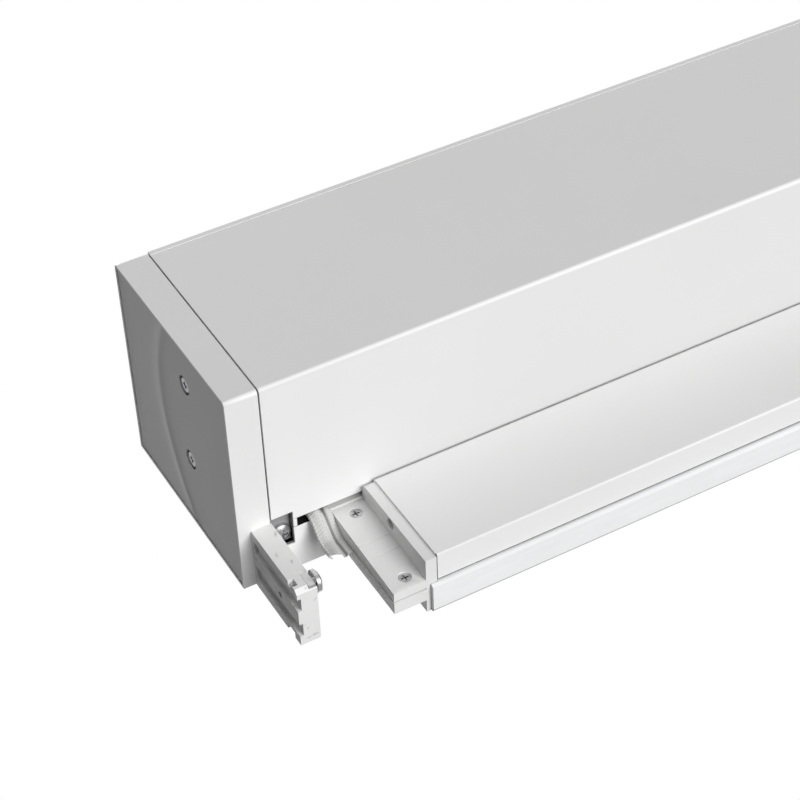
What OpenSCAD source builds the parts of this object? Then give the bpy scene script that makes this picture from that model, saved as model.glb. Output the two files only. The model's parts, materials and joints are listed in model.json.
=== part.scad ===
// Zip track blind: a motor-driven roller blind in a square cassette, with zip-edged fabric and a hem bar.
// Millimetres. X runs along the blind, +Z is up, the wall is the plane y = 0 and the room is on the -Y side.
// The origin is the centre of the cassette's back face. Both ends are drawn from x = 0 inwards as the
// left end, and moved or mirrored to their places.

/* [Cassette] */
// Overall width across both end caps
blind_w = 700; // [600:10:2400]
// Height of the cassette
box_h = 100; // [100:1:130]
// Depth of the cassette from the wall
box_d = 100; // [100:1:130]
// Wall of the back profile and the front cover
wall = 2; // [1.6:0.1:2.6]
// Height of the top profile's rim on the front face
rim_h = 2.5; // [2.2:0.1:4]
// Distance from the wall to the front lip of the fabric slot
slot_d = 27; // [26:0.5:32]
// Width of the fabric slot
slot_w = 4.6; // [4:0.1:5.4]
// Height of the upturned lips of the slot
lip_h = 6; // [4:0.5:6]
// Thickness of the upturned lips
lip_t = 1.6; // [1.2:0.1:2]
// Radius of the outer long edge of the front cover and of the cap corners
edge_r = 1.8; // [0.8:0.1:2.2]
// Distance of the two wall screw holes from the ends
wall_hole_x = 90; // [60:5:200]
// Radius of a wall screw hole
wall_hole_r = 3.3; // [2.5:0.1:4.5]
// Height of the wall screw holes above the middle
wall_hole_z = 24; // [20:1:30]

/* [End caps] */
// Width of an end cap
cap_w = 14.2; // [13:0.1:20]
// Seam between an end cap and the profiles
seam = 0.6; // [0.3:0.1:1]
// Side wall of an end cap
cap_wall = 4.3; // [4:0.1:4.6]
// Floor of an end cap, behind its cover plate
cap_floor = 3; // [2.6:0.1:3.6]
// Rim that frames the cover plate
cap_rim = 1.4; // [1:0.1:2]
// Thickness of the cover plate
plate_t = 1.5; // [1:0.1:2]
// How far the cover plate sits below the rim
plate_set = 0.3; // [0.2:0.1:0.6]
// How far the cap's tongues reach into the profiles
tongue_l = 11.8; // [11.4:0.2:14]
// Thickness of a tongue
tongue_t = 2; // [1.5:0.1:2.4]

/* [Fabric] */
// Thickness of the screen fabric
fabric_t = 0.55; // [0.4:0.05:0.6]
// Distance of the clamped fabric edge from the wall, in the middle of the hem bar
clamp_y = 16.5; // [15.5:0.1:17.5]
// Distance of the zip's outer edge from the blind's end
zip_x = 31; // [29:0.5:34]
// Width of the zip band beside the clamp block
zip_w = 9; // [7:0.5:9.5]
// Thickness of the zip coil
zip_t = 2.2; // [1.6:0.1:2.6]
// Spacing of the zip's teeth
zip_pitch = 2.4; // [1.8:0.1:3.2]
// How far the zip band reaches below the cassette
zip_tail = 20; // [14:0.5:26]

/* [Roller] */
// Clearance between the full roll and the front cover
roll_clear = 4.625; // [3.5:0.125:8]
// Thickness of the fabric that is wound on the tube when the blind is closed
winding = 4.15; // [1.5:0.05:4.6]
// Wall of the roller tube
tube_wall = 1.5; // [1.2:0.1:2]
// Distance of the tube's end from the blind's end
tube_x = 26; // [25:0.5:28]
// Radius of the strip that holds the fabric in the tube's groove
spline_r = 2.2; // [1.8:0.1:2.4]
// Length of the idler plug inside the tube
idler_l = 46; // [44:1:60]
// Radius of the idler pin
pin_r = 5; // [4:0.5:5.5]
// How far the idler pin can be pushed in
pin_travel = 8; // [6:0.5:8]
// Wire radius of the idler spring
spring_wire_r = 0.8; // [0.6:0.1:0.9]
// Turns of the idler spring
spring_turns = 5; // [4:1:6]

/* [Motor] */
// Clearance between the tubular motor and the groove inside the tube
motor_clear = 0.9; // [0.5:0.1:3]
// Length of the tubular motor
motor_l = 430; // [400:5:430]
// Wall of the motor's casing
motor_wall = 1.2; // [1:0.1:1.6]
// Radius of the motor's output shaft
shaft_r = 6; // [5:0.5:7]
// Radius of the mains lead that the gland takes
lead_r = 3.6; // [3:0.1:4.5]

/* [Hem bar] */
// Height of the hem bar
hem_h = 50.8; // [48:0.2:60]
// Thickness of the hem bar, front to back
hem_d = 29.3; // [28:0.1:32]
// Distance of the hem bar from the wall
hem_y = 3.4; // [3:0.1:4]
// Gap between the cassette and the hem bar
hem_gap = 1; // [0.8:0.1:2]
// Wall of the hem bar
hem_wall = 1.8; // [1.5:0.1:2.2]
// Distance of the end plug's outer face from the blind's end
plug_x = 55.5; // [54:0.5:60]
// Thickness of the end plug
plug_w = 5; // [4:0.5:7]
// Height of the two ledges that the weight bar lies on
ledge_h = 2.8; // [2.4:0.1:3.4]
// Height of the weight bar inside the hem bar
weight_h = 14; // [10:1:16]
// How far the bottom seal stands below the hem bar
seal_out = 2; // [1:0.2:3]
// Width of the bottom seal, front to back
seal_d = 15; // [13:0.5:15]

/* [Clamp blocks] */
// Distance of the clamp block from the blind's end
block_x = 41; // [40.5:0.5:44]
// Distance of the clamp block's back from the wall
block_back = 10; // [9:0.1:11]
// Distance of the clamp block's front from the wall, at its lower end
block_front = 21.2; // [20.6:0.1:22]
// How much thicker the clamp block is at its upper end
block_taper = 2.4; // [0:0.1:3]
// Gap between the two halves of the clamp block
block_gap = 0.8; // [0.7:0.1:1.2]

/* [Rail spigots] */
// Distance of the spigot's outer face from the blind's end
spigot_x = 5.6; // [5.2:0.1:6]
// Width of the spigot
spigot_w = 9; // [8:0.1:9.2]
// Depth of the spigot from the wall
spigot_d = 30; // [28:0.5:32]
// Height of the spigot below the cap
spigot_h = 39; // [36:0.5:60]
// Depth of the two grooves in the spigot's outer face
groove_d = 1.6; // [1:0.1:2.2]
// Thickness of the spigot's foot, which a screw holds up against the cap
foot_t = 3; // [2.6:0.1:3.4]
// How far the foot lies above the cassette's underside
foot_up = 3.5; // [3.4:0.1:4]

/* [Screws] */
// Shank radius of the cap and plate screws
screw_r = 2; // [1.6:0.1:2.2]
// Head radius of the cap and plate screws
head_r = 3.2; // [2.8:0.1:3.6]
// Head radius of the clamp block's countersunk screws
csk_r = 2.7; // [2.5:0.1:3]
// Head radius of the screws in the hem bar's plug
plug_head_r = 2.6; // [2.4:0.1:2.8]
// Head radius of the screw in the spigot's foot
foot_head_r = 4.2; // [3.8:0.1:4.4]
// Head radius of the spigot's rail screw
rail_head_r = 4.8; // [4:0.1:5]

/* [Clearances] */
// Gap between neighbouring pieces that don't turn on each other
gap = 0.3; // [0.2:0.05:0.35]
// Radial clearance of a shaft or pin in its bore
run = 0.05; // [0.02:0.01:0.09]

/* [Hidden] */
$fn = 48;
half_h = box_h / 2;
floor_x = plate_set + plate_t;
seat_x = floor_x + cap_floor;
profile_x = cap_w + seam;
under = -half_h;
fabric_y = slot_d - slot_w / 2 - 0.2;
web_d = slot_d - slot_w;
// The roll fills the depth between the hanging sheet and the front cover, and the tube is what is left
roll_back = fabric_y + fabric_t / 2 + gap;
roll_r = (box_d - wall - roll_clear - roll_back) / 2;
tube_r = roll_r - winding;
roller_y = roll_back + roll_r;
// Screw ports of the back profile: radius of the bore, of the ring round it, and the three centres
port_r = screw_r + run;
port_out = port_r + 1.5;
port_in = wall + port_out - 0.5;
port_gap = 2;
port_screw_l = 14;
ports = [[-port_in, half_h - 11], [-port_in, 15 - half_h], [-roller_y - 13.8, half_h - port_in]];
// The rib under the top plate that the cover's clips reach, and the clips' channel on the cover
rib_y = box_d - 10;
rib_h = 4.5;
rib_t = 1.5;
clip_w = 24;
clip_z = half_h - 12;
clip_t = 1.6;
clip_slot = 2.1;
clip_hook = 2;
clip_rib_d = 4;
// The two screws that hold a bracket through the cap and its cover plate
front_screw = [-roller_y - 20.4, -10.4];
back_screw = [-roller_y + 21.5, -7.8];
head_h = 2.4;
screw_sink = 1.4;
plate_hole_r = head_r + 1.2;
bracket_t = 3;
bracket_w = 64;
bracket_h = 52;
bracket_x = seat_x + bracket_t;
screw_boss_l = 5;
boss_wall = 2.2;
boss_x = bracket_x + 9;
// The idler: bush, collar, spring and the plug's inner wall, as distances from the blind's end
flange_x = tube_x - 1.8;
bush_l = 20;
bush_r = pin_r + 3;
collar_x = flange_x + bush_l + gap;
collar_w = 3.5;
collar_r = bush_r - 0.5;
cavity_r = bush_r + 1;
spring_x = collar_x + collar_w + 0.1;
plug_end_x = tube_x + idler_l;
plug_end_t = 4;
spring_end_x = plug_end_x - plug_end_t - 0.1;
spring_r = collar_r - spring_wire_r - 0.6;
// The tube's groove: a round channel that is open to the outside
key_r = spline_r + run;
key_out = key_r + 1.6;
key_z = tube_r - key_r - 1;
key_low = key_z - key_out;
tube_in_r = tube_r - tube_wall;
// The motor's places along the tube, from the blind's end
motor_r = key_low - motor_clear;
motor_x = tube_x - 2;
crown_l = 14;
motor_end_x = motor_x + motor_l;
head_out_r = motor_r - 1.5;
tenon_r = 12;
wheel_w = 20;
wheel_wall = 3;
wheel_hole_r = (key_low - shaft_r) / 2 - wheel_wall;
wheel_hole_at = (key_low + shaft_r) / 2;
cell_r = motor_r - motor_wall - run;
gland_in = 24;
gland_up = 14;
gland_y = -box_d + gland_in;
gland_z = -half_h + gland_up;
// The hem bar and what is on it
hem_top = under - hem_gap;
hem_low = hem_top - hem_h;
hem_front = -hem_y - hem_d;
plug_top = under - gap - 0.1;
hem_x = plug_x + plug_w;
keder_r = 3;
keder_z = hem_top - hem_wall - keder_r;
sheet_z = under - hem_gap / 2;
seal_step = 4;
ledge_w = 4;
seal_y = -hem_y - seal_d;
plug_screw_in = 2.4;
plug_screw_down = 22.8;
plug_screw_l = 14;
plug_sink = 2.8;
plug_tongue_l = 12;
plug_corner = 3;
hem_screw = [hem_front + hem_wall + plug_screw_in, hem_top - plug_screw_down];
hem_screw_back = [-hem_y - hem_wall - plug_screw_in, hem_top - plug_screw_down];
block_lines = [23, 31];
arm_l = 26;
arm_z = hem_top - 20;
arm_low = arm_z - 12;
block_top = under - gap - 0.1;
block_screws = [[8.2, block_top - 6], [8.2, hem_low + 5.8]];
zip_bottom = under - zip_tail;
teeth_top = under + 6;
// The zip band's bend from the slot to the clamp: its upper end and its height
bend_top = under + 0.6;
bend_h = 6;
// The spigot: lying at the wall, its grooves and its screws
spigot_low = under - spigot_h;
spigot_in = spigot_x + spigot_w;
spigot_chamfer = 2.6;
foot_x = cap_w + 9.8;
foot_y = [-slot_d - 4, -slot_d + 13];
foot_z = under + foot_up;
pad_z = foot_z + foot_t + 0.05;
window_x = foot_x + gap;
foot_screw_at = [cap_w + 5.4, -slot_d + 6.8];
rail_screw_at = [-spigot_d + 2.5, spigot_low + 4.2];
rail_screw_out = 0.4;
nut_w = 8;
nut_t = 2.9;
nut_low = spigot_low + 0.6;

white_coat = [0.93, 0.93, 0.92];
white_plastic = [0.9, 0.9, 0.88];
cloth = [0.86, 0.86, 0.85];
steel = [0.62, 0.63, 0.65];
zinc = [0.75, 0.75, 0.76];
dark = [0.16, 0.16, 0.17];

// Placing and drawing helpers

module left_end() {
    translate([-blind_w / 2, 0, 0]) children();
}

module right_end() {
    mirror([1, 0, 0]) left_end() children();
}

// Stretches an outline, drawn with its first axis along Y and its second along Z, from x0 to x1
module along_x(x0, x1) {
    translate([x0, 0, 0]) rotate([90, 0, 90]) linear_extrude(x1 - x0) children();
}

module rod_x(x0, x1, r, at) {
    translate([x0, at[0], at[1]]) rotate([0, 90, 0]) cylinder(h = x1 - x0, r = r);
}

module rod_z(z0, z1, r, at) {
    translate([at[0], at[1], z0]) cylinder(h = z1 - z0, r = r);
}

module block(x0, x1, y0, y1, z0, z1) {
    translate([x0, y0, z0]) cube([x1 - x0, y1 - y0, z1 - z0]);
}

module rect(y0, y1, z0, z1) {
    translate([y0, z0]) square([y1 - y0, z1 - z0]);
}

// What is cut from a square corner at [y, z] to round it; sy and sz point into the material
module corner_cut(y, z, sy, sz, r) {
    difference() {
        translate([y - (sy < 0 ? r : 0.5), z - (sz < 0 ? r : 0.5)]) square([r + 0.5, r + 0.5]);
        translate([y + sy * r, z + sz * r]) circle(r);
    }
}

// Cassette

module back_section() {
    difference() {
        union() {
            rect(-wall, 0, -half_h, half_h);
            rect(-box_d, 0, half_h - wall, half_h);
            rect(-box_d, -box_d + wall, half_h - rim_h, half_h);
            rect(-rib_y - rib_t, -rib_y, half_h - wall - rib_h, half_h - wall + 0.5);
            rect(-web_d, 0, -half_h, -half_h + wall);
            rect(-web_d, -web_d + lip_t, -half_h, -half_h + lip_h);
            for (p = ports) translate(p) circle(port_out);
        }
        for (p = ports) translate(p) circle(port_r);
        for (p = [ports[0], ports[1]]) rect(p[0] - port_out - 1, p[0], p[1] - 1, p[1] + 1);
        rect(ports[2][0] - 1, ports[2][0] + 1, ports[2][1] - port_out - 1, ports[2][1]);
    }
}

// The window at each end of the slot, where the spigot's foot and its screw show
module foot_windows() {
    for (s = [0, 1]) mirror([s, 0, 0]) left_end()
        block(cap_w, window_x, foot_y[0] - gap, foot_y[1] + gap, under - 1, under + lip_h + 1);
}

module back_profile() {
    color(white_coat) difference() {
        along_x(-blind_w / 2 + profile_x, blind_w / 2 - profile_x) back_section();
        foot_windows();
        for (s = [-1, 1])
            translate([s * (blind_w / 2 - wall_hole_x), 1, wall_hole_z]) rotate([90, 0, 0])
                cylinder(h = wall + 2, r = wall_hole_r);
    }
}

module cover_section() {
    difference() {
        union() {
            rect(-box_d, -box_d + wall, -half_h, half_h - rim_h - gap);
            rect(-box_d, -slot_d, -half_h, -half_h + wall);
            rect(-slot_d - lip_t, -slot_d, -half_h, -half_h + lip_h);
            for (z = [clip_z - clip_slot - rib_t, clip_z])
                rect(-box_d + wall - 0.5, -box_d + wall + clip_rib_d, z, z + rib_t);
        }
        corner_cut(-box_d, -half_h, 1, 1, edge_r);
    }
}

module front_cover() {
    color(white_coat) difference() {
        along_x(-blind_w / 2 + profile_x, blind_w / 2 - profile_x) cover_section();
        foot_windows();
    }
}

// Snap clips: each lies between the cover's two inner ribs and stands up behind the top profile's rib
module cover_clips() {
    low = clip_z - (clip_slot + clip_t) / 2;
    top = half_h - wall - rib_h - gap;
    bump_r = (clip_hook - gap) / 2 - 0.01;
    color(dark) for (i = [-1, 0, 1])
        along_x(i * blind_w * 0.3 - clip_w / 2, i * blind_w * 0.3 + clip_w / 2) {
            rect(-box_d + wall + 0.1, -rib_y + clip_hook, low, low + clip_t);
            rect(-rib_y + gap, -rib_y + clip_hook, low, top);
            translate([-rib_y + (gap + clip_hook) / 2, top - bump_r + 0.04]) circle(bump_r);
        }
}

// End caps: a tray that the cover plate closes outside, with tongues that the profiles slide over

module cap_outline() {
    difference() {
        rect(-box_d, 0, -half_h, half_h);
        corner_cut(-box_d, -half_h, 1, 1, edge_r);
        corner_cut(-box_d, half_h, 1, -1, edge_r);
    }
}

module cap_tongues() {
    tip = cap_w + tongue_l;
    root = cap_w - 1.5;
    out = wall + gap;
    in = out + tongue_t;
    along_x(root, foot_x) rect(-box_d + 8, foot_y[0] - 2, -half_h + out, -half_h + in);
    along_x(root, tip) {
        rect(-box_d + out, -box_d + in, -half_h + 8, clip_z - 5);
        rect(-in, -out, ports[1][1] + port_out + port_gap, ports[0][1] - port_out - port_gap);
        rect(ports[2][0] + port_out + port_gap, -port_in - port_out - port_gap, half_h - in, half_h - out);
    }
    block(seat_x - 0.5, tip, foot_y[0], foot_y[1], pad_z, pad_z + 6);
    block(window_x, tip, -slot_d + gap, -web_d - gap, under, pad_z + 1);
}

module cap_holes() {
    for (p = ports) {
        rod_x(floor_x - 1, cap_w + 1, screw_r + 0.2, p);
        rod_x(floor_x - 1, floor_x + head_h + 0.2, head_r + 0.3, p);
    }
    for (p = [front_screw, back_screw]) {
        rod_x(floor_x - 1, seat_x + 1, screw_r + 0.2, p);
        rod_x(floor_x - 1, floor_x + screw_sink, plate_hole_r, p);
    }
    block(spigot_x + 0.4, spigot_in - 0.4, -spigot_d + 4, -4, under - 1, foot_z);
    block(spigot_x + 0.4, cap_w + 1, min(foot_y[0], -spigot_d + 4) - 0.2, -4, foot_z - 0.2, pad_z);
    rod_z(pad_z - 1, pad_z + 5, screw_r + 0.02, foot_screw_at);
}

module end_cap() {
    color(white_coat) difference() {
        union() {
            difference() {
                along_x(0, cap_w) cap_outline();
                along_x(seat_x, cap_w + 1)
                    rect(-box_d + cap_wall, -cap_wall, -half_h + cap_wall, half_h - cap_wall);
            }
            for (p = ports) rod_x(seat_x - 1, cap_w, port_out + 0.9, p);
            cap_tongues();
        }
        along_x(-1, floor_x) rect(-box_d + cap_rim, -cap_rim, -half_h + cap_rim, half_h - cap_rim);
        cap_holes();
    }
}

module end_cap_left() {
    left_end() end_cap();
}

module end_cap_right() {
    right_end() difference() {
        end_cap();
        color(white_coat) rod_x(floor_x - 1, seat_x + 1, lead_r + 1.8, [gland_y, gland_z]);
    }
}

module end_plate() {
    inset = cap_rim + gap;
    color(white_coat) difference() {
        along_x(plate_set, floor_x) rect(-box_d + inset, -inset, -half_h + inset, half_h - inset);
        for (p = [front_screw, back_screw]) rod_x(-1, floor_x + 1, plate_hole_r, p);
    }
}

module end_plate_left() {
    left_end() end_plate();
}

module end_plate_right() {
    right_end() difference() {
        end_plate();
        color(white_coat) rod_x(-1, floor_x + 1, lead_r + 1.8, [gland_y, gland_z]);
    }
}

module cross_slot(x0, x1, at, size) {
    for (a = [0, 90]) translate([x0, at[0], at[1]]) rotate([a, 0, 0])
        translate([0, -size, -size * 0.22]) cube([x1 - x0, 2 * size, size * 0.44]);
}

// The two visible screws: each sits in its hole in the cover plate and holds a bracket behind the cap
module plate_screws() {
    color(zinc) for (p = [front_screw, back_screw]) difference() {
        union() {
            rod_x(floor_x + screw_sink - head_h, floor_x + screw_sink, head_r, p);
            rod_x(floor_x + screw_sink - 0.1, bracket_x + screw_boss_l - 1, screw_r, p);
        }
        cross_slot(floor_x - 1, floor_x + 0.2, p, head_r * 0.62);
    }
}

module plate_screws_left() {
    left_end() plate_screws();
}

module plate_screws_right() {
    right_end() plate_screws();
}

module cap_screws() {
    color(zinc) for (p = ports) {
        rod_x(floor_x + 0.2, floor_x + head_h + 0.2, head_r, p);
        rod_x(floor_x + head_h + 0.1, profile_x + port_screw_l, screw_r, p);
    }
}

module cap_screws_left() {
    left_end() cap_screws();
}

module cap_screws_right() {
    right_end() cap_screws();
}

// Brackets inside the caps

module bracket_plate() {
    difference() {
        union() {
            along_x(seat_x, bracket_x)
                translate([-roller_y, 0]) square([bracket_w, bracket_h], center = true);
            for (p = [front_screw, back_screw])
                rod_x(bracket_x - 1, bracket_x + screw_boss_l, screw_r + boss_wall, p);
        }
        for (p = [front_screw, back_screw])
            rod_x(seat_x - 1, bracket_x + screw_boss_l + 1, screw_r + 0.02, p);
    }
}

module idler_bracket() {
    axis = [-roller_y, 0];
    left_end() color(steel) difference() {
        union() {
            bracket_plate();
            rod_x(bracket_x - 1, boss_x, pin_r + 5, axis);
        }
        rod_x(bracket_x - 1.5, boss_x + 1, pin_r + run, axis);
    }
}

module motor_bracket() {
    axis = [-roller_y, 0];
    right_end() color(steel) difference() {
        union() {
            bracket_plate();
            rod_x(bracket_x - 1, bracket_x + screw_boss_l, tenon_r + boss_wall, axis);
        }
        rod_x(seat_x - 1, bracket_x + screw_boss_l + 1, tenon_r + 0.1, axis);
    }
}

// Tubular motor, fixed to its bracket; the tube turns round it

module motor_head() {
    axis = [-roller_y, 0];
    right_end() color(dark) {
        rod_x(seat_x + gap, bracket_x + screw_boss_l + 0.2, tenon_r, axis);
        rod_x(bracket_x + screw_boss_l + 0.1, motor_x, head_out_r, axis);
    }
}

module motor_casing() {
    axis = [-roller_y, 0];
    right_end() color(steel) difference() {
        rod_x(motor_x, motor_end_x, motor_r, axis);
        rod_x(motor_x - 1, motor_end_x - 4, motor_r - motor_wall, axis);
        rod_x(motor_end_x - 5, motor_end_x + 1, shaft_r + run, axis);
    }
}

// The sealed cells inside the casing, in order from the head, as shares of its inner length
module motor_cell(from, to, r) {
    inner = motor_l - 4 - shaft_r;
    right_end() rod_x(motor_x + 1 + inner * from, motor_x + 1 + inner * to - 0.5, r, [-roller_y, 0]);
}

module limit_unit() {
    color(dark) motor_cell(0, 0.16, cell_r);
}

module run_capacitor() {
    color(steel) motor_cell(0.16, 0.34, cell_r - 2);
}

module motor_stator() {
    color(zinc) motor_cell(0.34, 0.64, cell_r);
}

module motor_brake() {
    color(steel) motor_cell(0.64, 0.74, cell_r);
}

module motor_gearbox() {
    color(zinc) motor_cell(0.74, 1, cell_r);
}

module cable_gland() {
    at = [gland_y, gland_z];
    right_end() color(dark) difference() {
        union() {
            rod_x(plate_set - 1.5, plate_set, lead_r + 4, at);
            rod_x(plate_set - 0.1, seat_x + 3, lead_r + 1.7, at);
        }
        rod_x(plate_set - 2, seat_x + 4, lead_r, at);
    }
}

// Roller

module tube_groove_cut(x0, x1) {
    rod_x(x0, x1, key_out + 0.15, [-roller_y, key_z]);
}

module roller_section() {
    difference() {
        union() {
            difference() {
                circle(tube_r);
                circle(tube_in_r);
            }
            translate([0, key_z]) circle(key_out);
        }
        translate([0, key_z]) circle(key_r);
        rect(-0.8, 0.8, key_z, tube_r + 1);
        difference() {
            circle(tube_r + 5);
            circle(tube_r);
        }
    }
}

module roller_tube() {
    color([0.8, 0.8, 0.82])
        translate([0, -roller_y, 0])
            along_x(-blind_w / 2 + tube_x, blind_w / 2 - tube_x) roller_section();
}

module roll(x0, x1) {
    difference() {
        rod_x(x0, x1, roll_r, [-roller_y, 0]);
        rod_x(x0 - 1, x1 + 1, tube_r + run, [-roller_y, 0]);
    }
}

module fabric_roll() {
    edge = blind_w / 2 - zip_x - zip_w - 0.1;
    color(cloth) roll(-edge, edge);
}

module zip_roll() {
    color(cloth) roll(zip_x, zip_x + zip_w);
}

module zip_roll_left() {
    left_end() zip_roll();
}

module zip_roll_right() {
    right_end() zip_roll();
}

module fabric_spline() {
    color(white_plastic) rod_x(-blind_w / 2 + zip_x, blind_w / 2 - zip_x, spline_r, [-roller_y, key_z]);
}

module idler_plug() {
    axis = [-roller_y, 0];
    left_end() color(dark) difference() {
        union() {
            rod_x(flange_x, tube_x, tube_r, axis);
            rod_x(tube_x - 0.1, plug_end_x, tube_in_r - run, axis);
        }
        rod_x(flange_x - 1, flange_x + bush_l, bush_r, axis);
        rod_x(flange_x + bush_l - 0.1, plug_end_x - plug_end_t, cavity_r, axis);
        tube_groove_cut(tube_x, plug_end_x + 1);
    }
}

module idler_bush() {
    axis = [-roller_y, 0];
    left_end() color(white_plastic) difference() {
        rod_x(flange_x, flange_x + bush_l, bush_r - 0.02, axis);
        rod_x(flange_x - 1, flange_x + bush_l + 1, pin_r + run, axis);
    }
}

module motor_crown() {
    axis = [-roller_y, 0];
    right_end() color(dark) difference() {
        union() {
            rod_x(motor_x + 0.3, tube_x, tube_r, axis);
            rod_x(tube_x - 0.1, tube_x + crown_l, tube_in_r - run, axis);
        }
        rod_x(motor_x - 1, tube_x + crown_l + 1, motor_r + run, axis);
        tube_groove_cut(tube_x, tube_x + crown_l + 1);
    }
}

module motor_shaft() {
    axis = [-roller_y, 0];
    right_end() color(steel) rod_x(motor_end_x - 4 + 0.1, motor_end_x + 5 + wheel_w, shaft_r, axis);
}

module drive_wheel() {
    axis = [-roller_y, 0];
    right_end() color(dark) difference() {
        rod_x(motor_end_x + 4, motor_end_x + 4 + wheel_w, tube_in_r - run, axis);
        rod_x(motor_end_x + 3, motor_end_x + 5 + wheel_w, shaft_r + 0.02, axis);
        tube_groove_cut(motor_end_x + 3, motor_end_x + 5 + wheel_w);
        for (a = [30:60:330])
            rod_x(motor_end_x + 3, motor_end_x + 5 + wheel_w, wheel_hole_r,
                [-roller_y + wheel_hole_at * cos(a), wheel_hole_at * sin(a)]);
    }
}

// Sprung idler pin: pushed in, its tip leaves the bracket's socket

module idler_pin() {
    axis = [-roller_y, 0];
    left_end() color(steel) {
        rod_x(bracket_x + 0.5, collar_x + 0.1, pin_r, axis);
        rod_x(collar_x, collar_x + collar_w, collar_r, axis);
        rod_x(collar_x + collar_w - 0.1, collar_x + collar_w + 6, pin_r - 2, axis);
    }
}

// A coil of round wire, as one swept tube; its ends lie against the collar and the plug's inner wall
module idler_spring() {
    sides = 8;
    rings = spring_turns * 14;
    length = spring_end_x - spring_x - 2 * spring_wire_r;
    points = [
        for (i = [0:rings], k = [0:sides - 1])
            let (
                turn = 360 * spring_turns * i / rings,
                reach = spring_r + spring_wire_r * cos(360 * k / sides),
                x = spring_x + spring_wire_r + length * i / rings + spring_wire_r * sin(360 * k / sides)
            )
            [x, -roller_y + reach * cos(turn), reach * sin(turn)]
    ];
    faces = [
        [for (k = [0:sides - 1]) k],
        [for (k = [0:sides - 1]) rings * sides + sides - 1 - k],
        for (i = [0:rings - 1], k = [0:sides - 1])
            let (a = i * sides + k, b = i * sides + (k + 1) % sides)
            each [[a, b + sides, b], [a, a + sides, b + sides]]
    ];
    left_end() color(steel) polyhedron(points, faces);
}

// Hem bar

module hem_section() {
    step = hem_low + seal_step;
    difference() {
        union() {
            rect(hem_front, -hem_y, step, hem_top);
            rect(hem_front, seal_y - 0.4, hem_low, step + 0.5);
        }
        difference() {
            union() {
                rect(hem_front + hem_wall, -hem_y - hem_wall, step + hem_wall, hem_top - hem_wall);
                rect(hem_front + hem_wall, seal_y - 0.4 - hem_wall, hem_low + hem_wall, step + 2.5);
            }
            translate([-clamp_y, keder_z]) circle(keder_r + 1.6);
            rect(-clamp_y - 3, -clamp_y + 3, keder_z, hem_top);
            translate(hem_screw) circle(port_r + 1.2);
            translate(hem_screw_back) circle(port_r + 1.2);
            rect(hem_front, hem_front + hem_wall + ledge_w, step, step + hem_wall + ledge_h);
            rect(-hem_y - hem_wall - ledge_w, -hem_y, step, step + hem_wall + ledge_h);
            rect(hem_front, hem_screw[0], hem_screw[1] - 1, hem_screw[1] + 1);
            rect(hem_screw_back[0], -hem_y, hem_screw[1] - 1, hem_screw[1] + 1);
        }
        translate([-clamp_y, keder_z]) circle(keder_r);
        rect(-clamp_y - 0.9, -clamp_y + 0.9, keder_z, hem_top + 1);
        translate(hem_screw) circle(port_r);
        translate(hem_screw_back) circle(port_r);
        rect(seal_y + 4, seal_y + 8, step - 1, step + hem_wall + 1);
        corner_cut(hem_front, hem_top, 1, -1, edge_r);
        corner_cut(hem_front, hem_low, 1, 1, edge_r * 0.6);
    }
}

module hem_bar() {
    color(white_coat) along_x(-blind_w / 2 + hem_x, blind_w / 2 - hem_x) hem_section();
}

module hem_weight() {
    low = hem_low + seal_step + hem_wall + ledge_h + run;
    edge = blind_w / 2 - hem_x - arm_l - 4;
    color(steel) block(-edge, edge, hem_front + hem_wall + 1, -hem_y - hem_wall - 1, low, low + weight_h);
}

// Bottom seal: a soft bulb below the bar, held by a tongue in the bar's slot
module hem_seal() {
    low = hem_low - seal_out;
    r = min(seal_out, 2.4);
    color(white_plastic) {
        along_x(-blind_w / 2 + hem_x + 0.2, blind_w / 2 - hem_x - 0.2) {
            rect(seal_y, -hem_y, hem_low - 0.4, hem_low + seal_step - 0.1);
            rect(seal_y + 4.3, seal_y + 7.7, hem_low + seal_step - 0.2, hem_low + seal_step + hem_wall);
            rect(seal_y + 3, seal_y + 9, hem_low + seal_step + hem_wall, hem_low + seal_step + hem_wall + 2);
        }
        along_x(-blind_w / 2 + hem_x - 3, blind_w / 2 - hem_x + 3) difference() {
            rect(seal_y, -hem_y, low, hem_low - gap);
            corner_cut(seal_y, low, 1, 1, r);
            corner_cut(-hem_y, low, -1, 1, r);
        }
    }
}

module hem_keder() {
    edge = blind_w / 2 - hem_x - 0.5;
    color(white_plastic) rod_x(-edge, edge, keder_r - 0.2, [-clamp_y, keder_z]);
}

module hem_plug() {
    color(white_plastic) difference() {
        union() {
            along_x(plug_x, hem_x) difference() {
                rect(hem_front + 1, -hem_y, hem_low, plug_top);
                corner_cut(hem_front + 1, plug_top, 1, -1, plug_corner);
            }
            along_x(hem_x - 0.1, hem_x + plug_tongue_l)
                rect(hem_front + hem_wall + 0.2, -hem_y - hem_wall - 0.2, arm_low - 4, arm_low - 1);
        }
        rod_x(plug_x - 1, hem_x + 1, screw_r + 0.1, hem_screw);
        rod_x(plug_x - 1, plug_x + plug_sink, plug_head_r, hem_screw);
        rod_x(plug_x - 1, hem_x + 1, screw_r + 0.1, hem_screw_back);
        rod_x(plug_x - 1, plug_x + plug_sink, plug_head_r, hem_screw_back);
        block(plug_x - 1, hem_x + 1, -clamp_y + block_gap / 2, -block_back - 1, arm_low, arm_z);
    }
}

module hem_plug_left() {
    left_end() hem_plug();
}

module hem_plug_right() {
    right_end() hem_plug();
}

module plug_screws() {
    color(zinc) for (p = [hem_screw, hem_screw_back]) {
        rod_x(plug_x + 1, plug_x + plug_sink, plug_head_r - 0.1, p);
        rod_x(plug_x + plug_sink - 0.1, hem_x + plug_screw_l, screw_r, p);
    }
}

module plug_screws_left() {
    left_end() plug_screws();
}

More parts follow.
